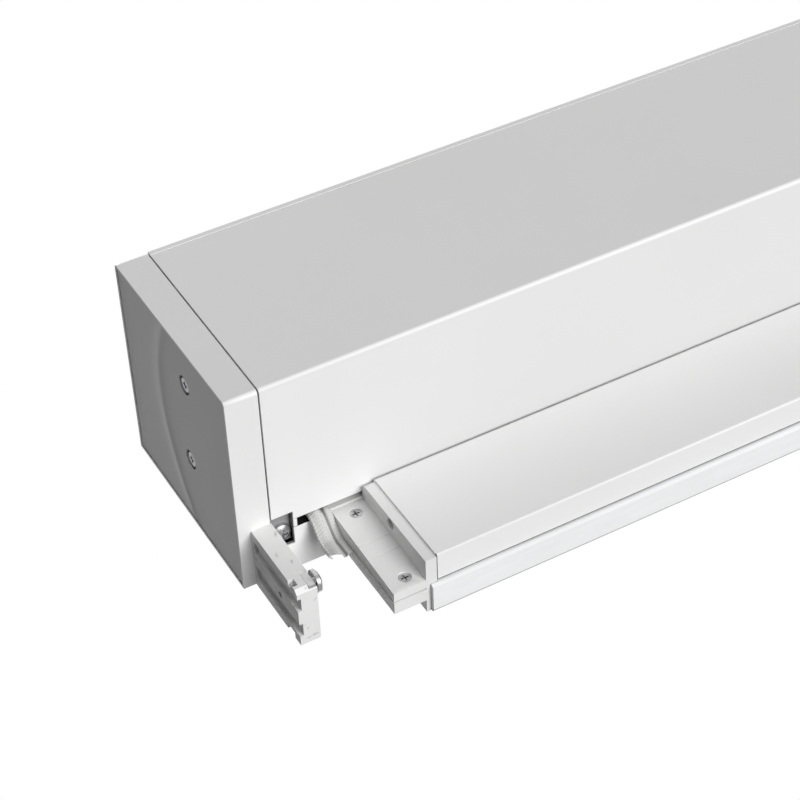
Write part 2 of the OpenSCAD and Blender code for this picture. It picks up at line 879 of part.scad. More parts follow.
module plug_screws_right() {
    right_end() plug_screws();
}

// Clamp blocks: two halves that grip the fabric's edge; the back half has an arm into the hem bar

// Distance of the block's tapered front from the wall at height z
function front_y(z) = -block_front - block_taper * (z - hem_low) / (block_top - hem_low);

module block_screw_cut(p, clear) {
    sink = csk_r - screw_r + 0.5;
    seat = -front_y(p[1]) - 0.4;
    translate([block_x + p[0], -seat, p[1]]) rotate([-90, 0, 0]) {
        translate([0, 0, -2]) cylinder(h = 2.01, r = csk_r + clear);
        cylinder(h = sink, r1 = csk_r + clear, r2 = csk_r + clear - sink);
        cylinder(h = seat - block_back + 1, r = screw_r - 0.4 + clear * 0.5);
    }
}

module clamp_front() {
    y1 = -clamp_y - block_gap / 2;
    color(white_plastic) difference() {
        along_x(block_x, plug_x) polygon([
            [y1, hem_low], [y1, block_top], [front_y(block_top), block_top], [front_y(hem_low), hem_low]
        ]);
        for (p = block_screws) block_screw_cut(p, 0.1);
        for (down = block_lines) {
            z = under - down;
            block(block_x - 1, plug_x + 1, front_y(z) - 1, front_y(z) + 0.25, z - 0.2, z + 0.2);
        }
    }
}

module clamp_back() {
    y0 = -clamp_y + block_gap / 2;
    color(white_plastic) difference() {
        union() {
            block(block_x, plug_x, y0, -block_back, hem_low, block_top);
            block(plug_x - 0.1, hem_x + arm_l, y0 + 0.1, -block_back - 1.2, arm_low + 0.2, arm_z - 0.2);
        }
        for (p = block_screws) block_screw_cut(p, 0.1);
    }
}

module clamp_front_left() {
    left_end() clamp_front();
}

module clamp_front_right() {
    right_end() clamp_front();
}

module clamp_back_left() {
    left_end() clamp_back();
}

module clamp_back_right() {
    right_end() clamp_back();
}

module clamp_screws() {
    sink = csk_r - screw_r + 0.5;
    color(zinc) for (p = block_screws) {
        seat = -front_y(p[1]) - 0.4;
        translate([block_x + p[0], -seat, p[1]]) rotate([-90, 0, 0]) difference() {
            union() {
                cylinder(h = sink, r1 = csk_r, r2 = csk_r - sink);
                cylinder(h = seat - block_back - 0.6, r = screw_r - 0.4);
            }
            for (a = [0, 90]) rotate([0, 0, a])
                cube([csk_r * 1.2, csk_r * 0.26, 2.2], center = true);
        }
    }
}

module clamp_screws_left() {
    left_end() clamp_screws();
}

module clamp_screws_right() {
    right_end() clamp_screws();
}

// Fabric: the hanging sheet, its clamped edges and the zip bands, drawn for the closed blind

module fabric_drop() {
    edge = blind_w / 2 - zip_x - zip_w - 0.1;
    hem_edge = blind_w / 2 - hem_x - 0.2;
    half_t = fabric_t / 2;
    color(cloth) {
        block(-edge, edge, -fabric_y - half_t, -fabric_y + half_t, under, 0);
        block(-hem_edge, hem_edge, -fabric_y - half_t, -fabric_y + half_t, sheet_z - half_t, under + 0.1);
        block(-hem_edge, hem_edge, -fabric_y - half_t, -clamp_y + half_t,
            sheet_z - half_t, sheet_z + half_t);
        block(-hem_edge, hem_edge, -clamp_y - half_t, -clamp_y + half_t, keder_z + keder_r - 0.15, sheet_z);
    }
}

// Distance of the zip band from the wall at height z: it bends from the slot's plane to the clamp's
function bend(z) = let (u = min(1, max(0, (bend_top - z) / bend_h))) u * u * (3 - 2 * u);
function band_y(z) = -fabric_y + (fabric_y - clamp_y) * bend(z);

module zip_tape() {
    low = zip_bottom + 3;
    heights = concat([0], [for (i = [0:10]) bend_top - bend_h * i / 10], [low]);
    shift = fabric_t * 0.36;
    polygon(concat(
        [for (z = heights) [band_y(z) - shift, z - (z == 0 || z == low ? 0 : shift)]],
        [for (i = [len(heights) - 1:-1:0]) let (z = heights[i])
            [band_y(z) + shift, z + (z == 0 || z == low ? 0 : shift)]]
    ));
}

module zip_band() {
    half_t = fabric_t / 2;
    coil = zip_t / 2;
    color(cloth) difference() {
        union() {
            along_x(zip_x + 0.8, zip_x + zip_w) zip_tape();
            block(zip_x + 3, zip_x + zip_w, -clamp_y - half_t * 0.7, -clamp_y + half_t * 0.7,
                zip_bottom, zip_bottom + 3.1);
            block(zip_x + zip_w - 0.5, plug_x - 1, -clamp_y - half_t, -clamp_y + half_t,
                hem_low + 4, bend_top - bend_h - 1);
            for (z = [zip_bottom + 3.4:zip_pitch:teeth_top])
                block(zip_x, zip_x + 3.2, band_y(z) - coil, band_y(z) + coil, z, z + zip_pitch * 0.6);
        }
        for (p = block_screws) block_screw_cut(p, 0.1);
    }
}

module zip_left() {
    left_end() zip_band();
}

module zip_right() {
    right_end() zip_band();
}

// Rail spigots: grooved plugs that the side rails slide over

module spigot_outline() {
    difference() {
        block(spigot_x, spigot_in, -spigot_d, 0, spigot_low, under);
        for (y = [-spigot_d + 4.5, -11.5])
            block(spigot_x - 1, spigot_x + groove_d, y, y + 6.5, spigot_low - 1, under - 1.5);
        translate([0, -spigot_d, spigot_low]) rotate([45, 0, 0])
            cube([4 * spigot_w, spigot_chamfer, spigot_chamfer], center = true);
        block(spigot_x - 1, spigot_x + 2.4, -spigot_d - 1, -spigot_d + 2.6,
            spigot_low + 3.6, spigot_low + 7.4);
        block(spigot_x - 1, spigot_x + 3, -3, 1, spigot_low + 4.8, spigot_low + 11);
        rod_x(spigot_x - 1, spigot_x + 4, 1.3, [-spigot_d + 15.3, spigot_low + 16]);
        block(spigot_in - nut_t - 0.5, spigot_in + 1, -spigot_d - 1, -spigot_d + nut_w + 0.1,
            nut_low - 0.1, nut_low + nut_w + 0.1);
    }
}

// The plug below the cap, its tongue up into the cap, and the foot that lies under the cap's pad
module rail_spigot() {
    color(white_plastic) difference() {
        union() {
            spigot_outline();
            block(spigot_x + 0.6, spigot_in - 0.6, -spigot_d + 4.2, -4.2, under - 0.1, foot_z + foot_t);
            block(spigot_x + 0.6, foot_x, foot_y[0], foot_y[1], foot_z, foot_z + foot_t);
        }
        rod_x(spigot_in - 7, spigot_in + 1, screw_r + 0.02, rail_screw_at);
        rod_z(foot_z - 1, foot_z + foot_t + 1, screw_r + 0.2, foot_screw_at);
    }
}

module rail_spigot_left() {
    left_end() rail_spigot();
}

module rail_spigot_right() {
    right_end() rail_spigot();
}

// The square nut of the rail screw, in a pocket that is open to the spigot's front and inner faces
module spigot_nut() {
    color(steel) difference() {
        block(spigot_in - nut_t - 0.4, spigot_in - 0.4, -spigot_d + 0.1, -spigot_d + nut_w,
            nut_low, nut_low + nut_w);
        rod_x(spigot_in - nut_t - 1, spigot_in, screw_r + 0.02, rail_screw_at);
    }
}

module spigot_nut_left() {
    left_end() spigot_nut();
}

module spigot_nut_right() {
    right_end() spigot_nut();
}

// A pan head with a cross recess, drawn with its seat at z = 0 and its domed top towards -Z
module pan_head(r) {
    h = 3.2;
    difference() {
        intersection() {
            translate([0, 0, -h]) cylinder(h = h, r = r);
            translate([0, 0, r * 1.6 - h]) sphere(r * 1.6);
        }
        for (a = [0, 90]) rotate([0, 0, a]) translate([0, 0, -h])
            cube([r * 1.1, r * 0.24, 3], center = true);
    }
}

// One screw holds the foot to the cap; the other stands in the spigot's inner face, for the rail
module spigot_screws() {
    color(zinc) {
        translate([foot_screw_at[0], foot_screw_at[1], foot_z]) {
            pan_head(foot_head_r);
            translate([0, 0, -0.1]) cylinder(h = foot_t + 5, r = screw_r);
        }
        translate([spigot_in + rail_screw_out, rail_screw_at[0], rail_screw_at[1]]) rotate([0, -90, 0]) {
            pan_head(rail_head_r);
            translate([0, 0, -0.1]) cylinder(h = rail_screw_out + 6.6, r = screw_r);
        }
    }
}

module spigot_screws_left() {
    left_end() spigot_screws();
}

module spigot_screws_right() {
    right_end() spigot_screws();
}

back_profile();
end_cap_left();
end_cap_right();
end_plate_left();
end_plate_right();
plate_screws_left();
plate_screws_right();
cap_screws_left();
cap_screws_right();
rail_spigot_left();
rail_spigot_right();
spigot_nut_left();
spigot_nut_right();
spigot_screws_left();
spigot_screws_right();
idler_bracket();
motor_bracket();
motor_head();
motor_casing();
limit_unit();
run_capacitor();
motor_stator();
motor_brake();
motor_gearbox();
cable_gland();
front_cover();
cover_clips();
roller_tube();
fabric_roll();
zip_roll_left();
zip_roll_right();
fabric_spline();
idler_plug();
idler_bush();
motor_crown();
motor_shaft();
drive_wheel();
idler_pin();
idler_spring();
hem_bar();
hem_weight();
hem_seal();
hem_keder();
hem_plug_left();
hem_plug_right();
plug_screws_left();
plug_screws_right();
clamp_front_left();
clamp_front_right();
clamp_back_left();
clamp_back_right();
clamp_screws_left();
clamp_screws_right();
fabric_drop();
zip_left();
zip_right();
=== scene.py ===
# %% [markdown]
# # A zip track blind, dressed for its photograph
# The blind hangs on a wall: a square cassette with the roller inside, and a hem bar that the
# fabric lowers. The construction comes as a fixed frame of rigid pieces. This lesson gives every
# piece its finish, then makes the soft ones: the sheet, the wound roll and the zip bands.

# %% Load the frame
import json
import math

import bpy
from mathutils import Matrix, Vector


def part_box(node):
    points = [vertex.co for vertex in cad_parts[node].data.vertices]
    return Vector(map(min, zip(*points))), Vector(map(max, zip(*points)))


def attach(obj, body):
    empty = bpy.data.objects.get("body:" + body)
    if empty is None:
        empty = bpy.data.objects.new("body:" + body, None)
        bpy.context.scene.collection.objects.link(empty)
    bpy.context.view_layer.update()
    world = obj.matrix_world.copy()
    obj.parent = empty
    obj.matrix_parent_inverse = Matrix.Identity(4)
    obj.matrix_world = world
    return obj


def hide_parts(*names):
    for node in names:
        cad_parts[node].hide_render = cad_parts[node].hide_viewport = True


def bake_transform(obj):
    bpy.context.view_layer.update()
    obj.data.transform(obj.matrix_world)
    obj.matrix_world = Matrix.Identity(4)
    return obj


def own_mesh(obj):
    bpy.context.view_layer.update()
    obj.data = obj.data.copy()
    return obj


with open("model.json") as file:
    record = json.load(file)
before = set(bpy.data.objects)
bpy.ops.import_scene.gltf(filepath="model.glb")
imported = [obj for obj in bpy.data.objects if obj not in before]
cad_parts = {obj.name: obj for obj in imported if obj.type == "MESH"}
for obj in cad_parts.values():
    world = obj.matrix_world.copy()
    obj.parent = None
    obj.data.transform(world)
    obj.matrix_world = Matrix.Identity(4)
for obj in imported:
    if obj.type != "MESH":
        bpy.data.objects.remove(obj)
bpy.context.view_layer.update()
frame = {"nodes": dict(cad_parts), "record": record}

bpy.ops.object.select_all(action="DESELECT")
print("nodes in the frame:", len(frame["nodes"]))

# %% [markdown]
# ## Places in the frame
# The wall is at Y = 0, the room is towards -Y, and the blind hangs down along -Z with its middle at
# X = 0. The frame gives each rigid piece's box in metres, so most places are read from it. The
# sizes that only the cloth has are written where they are first needed.

# %% Places that several steps use
MM = 0.001
SIDES = ("left", "right")
CLOTH = 0.55 * MM

box_low, box_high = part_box("back_profile")
cap_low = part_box("end_cap_left")[0]
hem_low, hem_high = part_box("hem_bar")
seal_low, seal_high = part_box("hem_seal")
roll_low, roll_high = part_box("fabric_roll")
sheet_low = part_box("fabric_drop")[0]
under = box_low.z
sheet_y = sheet_low.y + CLOTH / 2
clamp_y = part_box("clamp_front_left")[1].y + 0.4 * MM
roll_axis = (roll_low + roll_high) / 2
print("sheet hangs at", round(sheet_y / MM, 2), "mm, clamped at", round(clamp_y / MM, 2), "mm")

# %% [markdown]
# ## The camera
# The photograph shows the blind from below and from its left end, lying on its back, so the
# picture's upward direction is away from the wall. The place and the lens were worked out from the
# cassette's edges, and the last turn is the photograph's slight tilt.

# %% Camera
CAMERA_PLACE = Vector((-0.5838, -0.6519, -0.6315))
CAMERA_AIM = Vector((-0.2660, -0.0500, -0.0327))
CAMERA_LENS = 100.2
SENSOR_WIDTH = 36
CAMERA_TILT = math.radians(2.4)
PICTURE_UP = Vector((0, -1, 0))

bpy.ops.object.camera_add(location=CAMERA_PLACE)
camera = bpy.context.object
camera.name = "photo_camera"
camera.data.lens = CAMERA_LENS
camera.data.sensor_width = SENSOR_WIDTH
back = (CAMERA_PLACE - CAMERA_AIM).normalized()
level_right = PICTURE_UP.cross(back).normalized()
level_above = back.cross(level_right)
right = level_right * math.cos(CAMERA_TILT) - level_above * math.sin(CAMERA_TILT)
above = back.cross(right)
turn = camera.matrix_world.copy()
for row in range(3):
    turn[row][0], turn[row][1], turn[row][2] = right[row], above[row], back[row]
camera.matrix_world = turn
bpy.context.scene.camera = camera
bpy.ops.object.select_all(action="DESELECT")
print("camera at", [round(x, 3) for x in camera.location])

# %% [markdown]
# ## Light
# The underside of the cassette is the brightest face, its front is a little darker and its left end
# is in shade. One broad, soft sun from below and in front gives that. Four weaker suns stand square
# to the other faces: the top, the two ends and the wall side. Each row says where the light comes
# from, how strong it is and how many degrees wide.

# %% Suns
SUNS = {
    "key_from_below": ((0.22, -0.535, -0.825), 1.14, 42),
    "fill_from_above": ((0, 0, 1), 0.8, 12),
    "fill_from_right": ((1, 0, 0), 0.42, 60),
    "fill_from_left": ((-1, 0, 0), 0.07, 60),
    "fill_from_wall_side": ((0, 1, 0), 0.46, 12),
}
LAMP_DISTANCE = 2

for name, (towards, level, softness) in SUNS.items():
    direction = Vector(towards).normalized()
    bpy.ops.object.light_add(type="SUN", location=direction * LAMP_DISTANCE)
    lamp = bpy.context.object
    lamp.name = name
    lamp.data.energy = math.pi * level
    lamp.data.angle = math.radians(softness)
    lamp.rotation_mode = "QUATERNION"
    lamp.rotation_quaternion = direction.to_track_quat("Z", "Y")
    bpy.ops.object.select_all(action="DESELECT")
print("suns:", len(SUNS))

# %% [markdown]
# ## Sky
# A weak, even sky fills the shade. To the camera, and in metal and gloss, it shows as plain white,
# as the photograph's background does. Light Path tells the two apart: where any of its three
# outputs is 1, the white background takes the place of the weak one.

# %% Sky
SKY = 0.035
WHITE = (1, 1, 1, 1)

world = bpy.data.worlds.new("studio")
bpy.context.scene.world = world
world.use_nodes = True
sky = world.node_tree
sky.nodes.clear()
path = sky.nodes.new("ShaderNodeLightPath")
seen = path.outputs["Is Camera Ray"]
for ray in ("Is Glossy Ray", "Is Transmission Ray"):
    either = sky.nodes.new("ShaderNodeMath")
    either.operation = "MAXIMUM"
    sky.links.new(seen, either.inputs[0])
    sky.links.new(path.outputs[ray], either.inputs[1])
    seen = either.outputs[0]
pick = sky.nodes.new("ShaderNodeMixShader")
sky.links.new(seen, pick.inputs["Fac"])
for place, strength in ((1, SKY), (2, 1.0)):
    background = sky.nodes.new("ShaderNodeBackground")
    background.inputs["Strength"].default_value = strength
    background.inputs["Color"].default_value = WHITE
    sky.links.new(background.outputs[0], pick.inputs[place])
sky_out = sky.nodes.new("ShaderNodeOutputWorld")
sky.links.new(pick.outputs[0], sky_out.inputs["Surface"])
bpy.context.scene.view_settings.view_transform = "Standard"
print("sky level", SKY)

# %% [markdown]
# ## Building a finish
# A finish is a small tree of nodes that ends in one shader. These helpers add a node and fill its
# sockets in one line. A number that is the same all over is set on the socket itself, and only a
# pattern is linked in.

# %% Helpers that add nodes
def shader_of(material):
    return material.node_tree.nodes["Principled BSDF"]


def fill(material, socket, value):
    """Sets a socket to a plain value, or links another node's output to it."""
    if isinstance(value, bpy.types.NodeSocket):
        material.node_tree.links.new(value, socket)
    else:
        socket.default_value = value


def feed(material, node, **sockets):
    """Fills a node's sockets by name; an underscore stands for a space."""
    for name, value in sockets.items():
        fill(material, node.inputs[name.replace("_", " ")], value)


def new_finish(name, **sockets):
    material = bpy.data.materials.new(name)
    material.use_nodes = True
    feed(material, shader_of(material), **sockets)
    return material


def add_node(material, kind, **sockets):
    node = material.node_tree.nodes.new("ShaderNode" + kind)
    feed(material, node, **sockets)
    return node


def calculate(material, operation, *values):
    """A Math node; its sockets share one name, so they are filled in their order."""
    node = add_node(material, "Math")
    node.operation = operation
    for socket, value in zip(node.inputs, values):
        fill(material, socket, value)
    return node.outputs[0]


# %% [markdown]
# ## Patterns
# Patterns read Object coordinates, which stay on a rigid piece when it moves. A noise makes grain,
# and a Mapping node can draw it out along one axis. A wave makes ribs. Blender's wave texture runs
# through 20 radians for each unit of its scale, so the scale follows from the ribs' pitch.

# %% Helpers for patterns
WAVE_RADIANS = 20


def place_on(material):
    return add_node(material, "TexCoord").outputs["Object"]


def grain(material, per_metre, detail, stretch=(1, 1, 1)):
    """A noise with so many grains a metre; a stretch below 1 draws it out along that axis."""
    mapping = add_node(material, "Mapping", Vector=place_on(material), Scale=stretch)
    noise = add_node(
        material, "TexNoise", Vector=mapping.outputs["Vector"], Scale=per_metre, Detail=detail)
    return noise.outputs["Fac"]


def ribs(material, pitch, axis):
    """Parallel ribs, one per pitch, across an axis."""
    scale = 2 * math.pi / (WAVE_RADIANS * pitch)
    wave = add_node(material, "TexWave", Vector=place_on(material), Scale=scale)
    wave.bands_direction = axis
    return wave.outputs["Fac"]


def ramp(material, pattern, low, high):
    """Spreads a pattern of 0 to 1 over another range; what is past 1 counts as 1."""
    spread = add_node(material, "MapRange", Value=pattern, To_Min=low, To_Max=high)
    return spread.outputs["Result"]


def coordinate(material, axis):
    return add_node(material, "SeparateXYZ", Vector=place_on(material)).outputs[axis]


def within(material, **spans):
    """1 inside a box of Object coordinates and 0 outside it; a span is axis=(low, high)."""
    mask = 1.0
    for axis, (low, high) in spans.items():
        inside = calculate(
            material, "COMPARE", coordinate(material, axis), (low + high) / 2, (high - low) / 2)
        mask = calculate(material, "MULTIPLY", mask, inside)
    return mask


# %% [markdown]
# ## Colour, roughness and bumps
# Every finish gets three things from its patterns. Its colour runs between two near ones, its
# roughness varies, and its bumps lie on top of each other, each with its own depth. A mask can then
# put another colour over one place.

# %% Helpers that feed the shader
def mix_colour(material, factor, a, b):
    mix = material.node_tree.nodes.new("ShaderNodeMix")
    mix.data_type = "RGBA"
    feed(material, mix, Factor=factor, A=a, B=b)
    feed(material, shader_of(material), Base_Color=mix.outputs["Result"])


def tint(material, pattern, dark, light):
    mix_colour(material, pattern, (*dark, 1), (*light, 1))


def shade_over(material, mask, colour):
    """Another colour where the mask is 1, over whatever colour the shader has."""
    before = shader_of(material).inputs["Base Color"].links[0].from_socket
    mix_colour(material, mask, before, (*colour, 1))


def roughen(material, pattern, low, high):
    feed(material, shader_of(material), Roughness=ramp(material, pattern, low, high))


def bumps(material, *layers):
    """Each layer is (pattern, depth), and lies over the bumps that are there already."""
    normal = shader_of(material).inputs["Normal"]
    for pattern, depth in layers:
        bump = add_node(material, "Bump", Height=pattern, Distance=depth)
        if normal.is_linked:
            feed(material, bump, Normal=normal.links[0].from_socket)
        feed(material, shader_of(material), Normal=bump.outputs["Normal"])


# %% [markdown]
# ## White powder coat
# The profiles, caps and cover plates are aluminium with a satin white powder coat. A plain white
# would look like paper: such a coat has a very fine orange-peel skin, and its colour and gloss
# drift a little over a hand's breadth. Extruded pieces also carry faint die lines along their
# length, so the extrusion finish adds a noise that is drawn out along X. The flat cover plates of
# the end caps are pressed from sheet and are not quite flat, so they get a slow, shallow wave as
# well. The caps are a shade darker than the profiles. The plates are darker still, and that is
# painted shade, which keeps the blind's end faces dark.

# %% White coats
WHITE_DARK = (0.775, 0.775, 0.772)
WHITE_LIGHT = (0.815, 0.815, 0.812)
DRAWN_ALONG_X = (0.004, 1, 1)


def powder_coat(name, die_lines=False, wave=0.0, gloss=0.3, shade=1.0):
    material = new_finish(name, Specular_IOR_Level=gloss)
    dark = [shade * part for part in WHITE_DARK]
    light = [shade * part for part in WHITE_LIGHT]
    tint(material, grain(material, per_metre=14, detail=4), dark, light)
    roughen(material, grain(material, per_metre=120, detail=5), 0.38, 0.47)
    bumps(material, (grain(material, per_metre=900, detail=2), 0.010 * MM))
    if die_lines:
        drawn = grain(material, per_metre=500, detail=2, stretch=DRAWN_ALONG_X)
        bumps(material, (drawn, 0.006 * MM))
    if wave:
        bumps(material, (grain(material, per_metre=22, detail=1), wave))
    return material


white_extrusion = powder_coat("white_extrusion", die_lines=True)
white_box = powder_coat("white_box", die_lines=True)
white_cap = powder_coat("white_cap", shade=0.97)
# The plates' lower shade value is painted shade for the end faces.
white_plate = powder_coat("white_plate", wave=0.3 * MM, gloss=0.15, shade=0.90)
bowed_plate = powder_coat("bowed_plate", wave=0.3 * MM, gloss=0.15, shade=0.90)
print("coats:", white_extrusion.name, white_box.name, white_cap.name, white_plate.name)

# %% [markdown]
# ## Painted shade inside the cassette and in its slot
# The inner faces of the cassette's profiles and caps are painted a dull dark grey, as painted
# shade. A second material on those faces would need them picked one by one. A mask finds them
# all: they lie deeper than a thin skin below the outer faces. A strip of the slot's wall-side lip
# is painted black, a painted shade that shows as a black gap beside the zip band.

# %% Painted shade inside the cassette
SKIN = 0.7 * MM
INNER_PAINTED_SHADE = (0.20, 0.20, 0.205)
SLOT_SHADE_BLACK = (0.012, 0.012, 0.012)

# Painted shade: the faces inside the cassette are coloured a dark grey.
for material, end in ((white_box, box_low.x + 0.1 * MM), (white_cap, cap_low.x + SKIN)):
    inside = within(
        material,
        X=(end, -end),
        Y=(cap_low.y + SKIN, -SKIN),
        Z=(box_low.z + SKIN, box_high.z - SKIN),
    )
    shade_over(material, inside, INNER_PAINTED_SHADE)

# A strip of the slot's wall-side lip is painted black, as painted shade.
lip_y = sheet_y + 2.1 * MM
painted_shade = within(
    white_box,
    Y=(lip_y - 0.3 * MM, lip_y + 0.06 * MM),
    Z=(under + 0.15 * MM, under + 9 * MM),
)
shade_over(white_box, painted_shade, SLOT_SHADE_BLACK)
print("slot lined at y", round(lip_y / MM, 2), "mm")

# %% [markdown]
# ## Painted shade in the hem bar's joints
# A dark line shows where the seal sits in the hem bar, and a short seam where each end plug goes
# in. A real joint has a gap that holds shade. The solids touch there, so the lines are painted
# shade instead: narrow dark masks in the hem bar's finish.

# %% Joint lines, painted as shade
JOINT_SHADE_GREY = (0.09, 0.09, 0.09)
SEAM_SHADE_GREY = (0.10, 0.10, 0.10)
JOINT_WIDTH = 1.0 * MM
SEAM_HALF = 0.35 * MM
LINE_DEPTH = 0.2 * MM

# Painted shade along the seal's joint and at each plug's seam.
joint = within(
    white_extrusion,
    Y=(seal_low.y - JOINT_WIDTH, seal_low.y),
    Z=(hem_low.z - LINE_DEPTH, hem_low.z + LINE_DEPTH),
)
shade_over(white_extrusion, joint, JOINT_SHADE_GREY)
for end in (hem_low.x, hem_high.x):
    seam = within(
        white_extrusion,
        X=(end - SEAM_HALF, end + SEAM_HALF),
        Z=(hem_low.z - LINE_DEPTH, hem_low.z + 1 * MM),
    )
    shade_over(white_extrusion, seam, SEAM_SHADE_GREY)
print("joint line", JOINT_WIDTH / MM, "mm wide")

# %% [markdown]
# ## The bow in the left plate
# The end plate is a thin sheet pulled in by its screws, so a long, soft ridge runs across it in a
# bow. It is less than a millimetre high, so a bump shows it without a change of the mesh. Its
# height falls off on both sides of a parabola: 1 / (1 + s * s), where s is the distance from the
# parabola in widths of the ridge.

# %% Bowed ridge
def bowed_ridge(material, top_z, bend, middle_y, width, height):
    """A soft ridge along Y on a face that looks along X; it drops from top_z to both ends."""
    along = calculate(material, "SUBTRACT", coordinate(material, "Y"), middle_y)
    squared = calculate(material, "MULTIPLY", along, along)
    drop = calculate(material, "MULTIPLY", squared, bend)
    raised = calculate(material, "ADD", coordinate(material, "Z"), drop)
    away = calculate(material, "DIVIDE", calculate(material, "SUBTRACT", raised, top_z), width)
    spread = calculate(material, "ADD", calculate(material, "MULTIPLY", away, away), 1.0)
    bumps(material, (calculate(material, "DIVIDE", 1.0, spread), height))


bowed_ridge(
    bowed_plate, top_z=16.5 * MM, bend=6.8, middle_y=-58 * MM, width=4 * MM, height=0.7 * MM)
print("ridge in", bowed_plate.name)

# %% [markdown]
# ## Moulded plastics and the soft seal
# Spigots, plugs and clamp blocks are moulded in white plastic with a slightly cloudy surface. The
# spigots have slid in and out of their rails, so they carry grey scuffs: a noise is spread so far
# that only its peaks pass 0. Their inner foot is painted dark grey, as painted shade. The seal
# under the hem bar is softer and duller, and grey along its wall-side corner.

# %% Plastics
PLASTIC = ((0.70, 0.70, 0.695), (0.79, 0.79, 0.785))
SCUFF_GREY = (0.46, 0.46, 0.455)
FOOT_PAINTED_SHADE = (0.25, 0.25, 0.255)


def moulded(name, dark, light, roughness, clouds=60, stretch=(1, 1, 1), gloss=0.25):
    material = new_finish(name, Specular_IOR_Level=gloss)
    tint(material, grain(material, clouds, detail=5, stretch=stretch), dark, light)
    roughen(
        material, grain(material, per_metre=200, detail=3), roughness - 0.06, roughness + 0.08)
    bumps(
        material,
        (grain(material, per_metre=1400, detail=2), 0.014 * MM),
        (grain(material, per_metre=160, detail=2), 0.030 * MM),
    )
    return material


white_plastic = moulded("white_plastic", *PLASTIC, 0.45)
dark_plastic = moulded("dark_plastic", (0.012, 0.012, 0.013), (0.022, 0.022, 0.024), 0.4)
foot_plastic = moulded("foot_plastic", *PLASTIC, 0.45)
marks = grain(foot_plastic, per_metre=230, detail=4, stretch=(1, 1, 0.45))
shade_over(foot_plastic, ramp(foot_plastic, marks, -10, 6), SCUFF_GREY)
# The inner foot is painted dark grey, as painted shade.
foot_x = cap_low.x + 14.6 * MM
foot = within(foot_plastic, X=(foot_x, -foot_x), Z=(under + 0.4 * MM, under + 9 * MM))
shade_over(foot_plastic, foot, FOOT_PAINTED_SHADE)
print("plastics:", white_plastic.name, foot_plastic.name, dark_plastic.name)

# %% Seal
SEAL = ((0.75, 0.76, 0.765), (0.85, 0.86, 0.865))
RIM_GREY = (0.40, 0.40, 0.40)

white_seal = moulded(
    "white_seal", *SEAL, roughness=0.7, clouds=400, stretch=(0.15, 1, 1), gloss=0.08)
seal_rim = within(
    white_seal,
    Y=(seal_high.y - 1.7 * MM, seal_high.y + 0.1 * MM),
    Z=(seal_low.z - 0.1 * MM, seal_low.z + 1.3 * MM),
)
shade_over(white_seal, seal_rim, RIM_GREY)
print("seal:", white_seal.name)

# %% [markdown]
# ## Metals
# Screws, nuts, the pin and the spring are zinc plated and bright. The clamps' screws have a patchy
# plating. The plates' screws are duller and darker, and their darkness is painted shade of the
# recesses they sit in. Brackets, the weight and the motor casing are plain steel, duller and
# slightly mottled. The tube is mill-finish aluminium with long draw lines.

# %% Metals
def bare_metal(name, dark, light, roughness, mottle, stretch=(1, 1, 1)):
    """Mottle is in grains a metre, and stretch draws out the scratches only."""
    material = new_finish(name, Metallic=1.0)
    tint(material, grain(material, mottle, detail=4), dark, light)
    scratched = grain(material, mottle * 3, detail=3, stretch=stretch)
    roughen(material, scratched, roughness - 0.08, roughness + 0.1)
    bumps(material, (grain(material, per_metre=900, detail=2, stretch=stretch), 0.012 * MM))
    return material


zinc_steel = bare_metal("zinc_steel", (0.42, 0.42, 0.43), (0.74, 0.74, 0.75), 0.22, 260)
clamp_zinc = bare_metal("clamp_zinc", (0.06, 0.06, 0.063), (0.80, 0.80, 0.81), 0.22, 420)
# The plates' screws are darkened: painted shade of their recesses.
screw_zinc_painted_shade = bare_metal("screw_zinc_painted_shade", (0.16, 0.16, 0.165), (0.42, 0.42, 0.43), 0.34, 500)
plain_steel = bare_metal("plain_steel", (0.42, 0.43, 0.45), (0.56, 0.57, 0.59), 0.42, 60)
mill_aluminium = bare_metal(
    "mill_aluminium", (0.70, 0.70, 0.72), (0.80, 0.80, 0.82), 0.34, 40, stretch=(0.01, 1, 1))
print("metals:", zinc_steel.name, plain_steel.name, mill_aluminium.name)

# %% [markdown]
# ## Cloth
# The screen is a coated glass-fibre cloth, woven square, about one thread a millimetre each way.
# The zip band is a coarser tape. Two sets of ribs, added, make the weave, in the colour and in the
# bumps. A dark line runs along the band, beside its fold, at both ends of the blind: it is painted
# shade of the fold.

# %% Cloths
FOLD_SHADE_SPAN = (37.0 * MM, 37.9 * MM)
FOLD_SHADE_GREY = (0.29, 0.29, 0.285)


def woven(name, dark, light, pitch, depth):
    material = new_finish(name, Roughness=0.72, Specular_IOR_Level=0.3, Sheen_Weight=0.15)
    threads = calculate(
        material, "ADD", ribs(material, pitch, "Z"), ribs(material, pitch, "X"))
    weave = ramp(material, threads, 0, 0.5)
    tint(material, weave, dark, light)
    bumps(
        material, (weave, depth), (grain(material, per_metre=90, detail=3), 0.06 * MM))
    return material


screen_cloth = woven(
    "screen_cloth", (0.60, 0.60, 0.59), (0.76, 0.76, 0.75), pitch=0.9 * MM, depth=0.08 * MM)
zip_cloth = woven(
    "zip_cloth", (0.46, 0.46, 0.455), (0.65, 0.65, 0.64), pitch=1.0 * MM, depth=0.22 * MM)
# The band's dark stripe is painted shade of its fold.
fold_shade_low, fold_shade_high = (cap_low.x + distance for distance in FOLD_SHADE_SPAN)
for span in ((fold_shade_low, fold_shade_high), (-fold_shade_high, -fold_shade_low)):
    shade_over(zip_cloth, within(zip_cloth, X=span), FOLD_SHADE_GREY)
print("band's seam", FOLD_SHADE_SPAN[0] / MM, "mm from the end")

# %% [markdown]
# ## Finishes for the rigid pieces
# The record gives each node a material slot, and each slot has one finish here. Pieces that differ
# from the rest of their slot, such as the wavy cover plates, have a finish of their own.

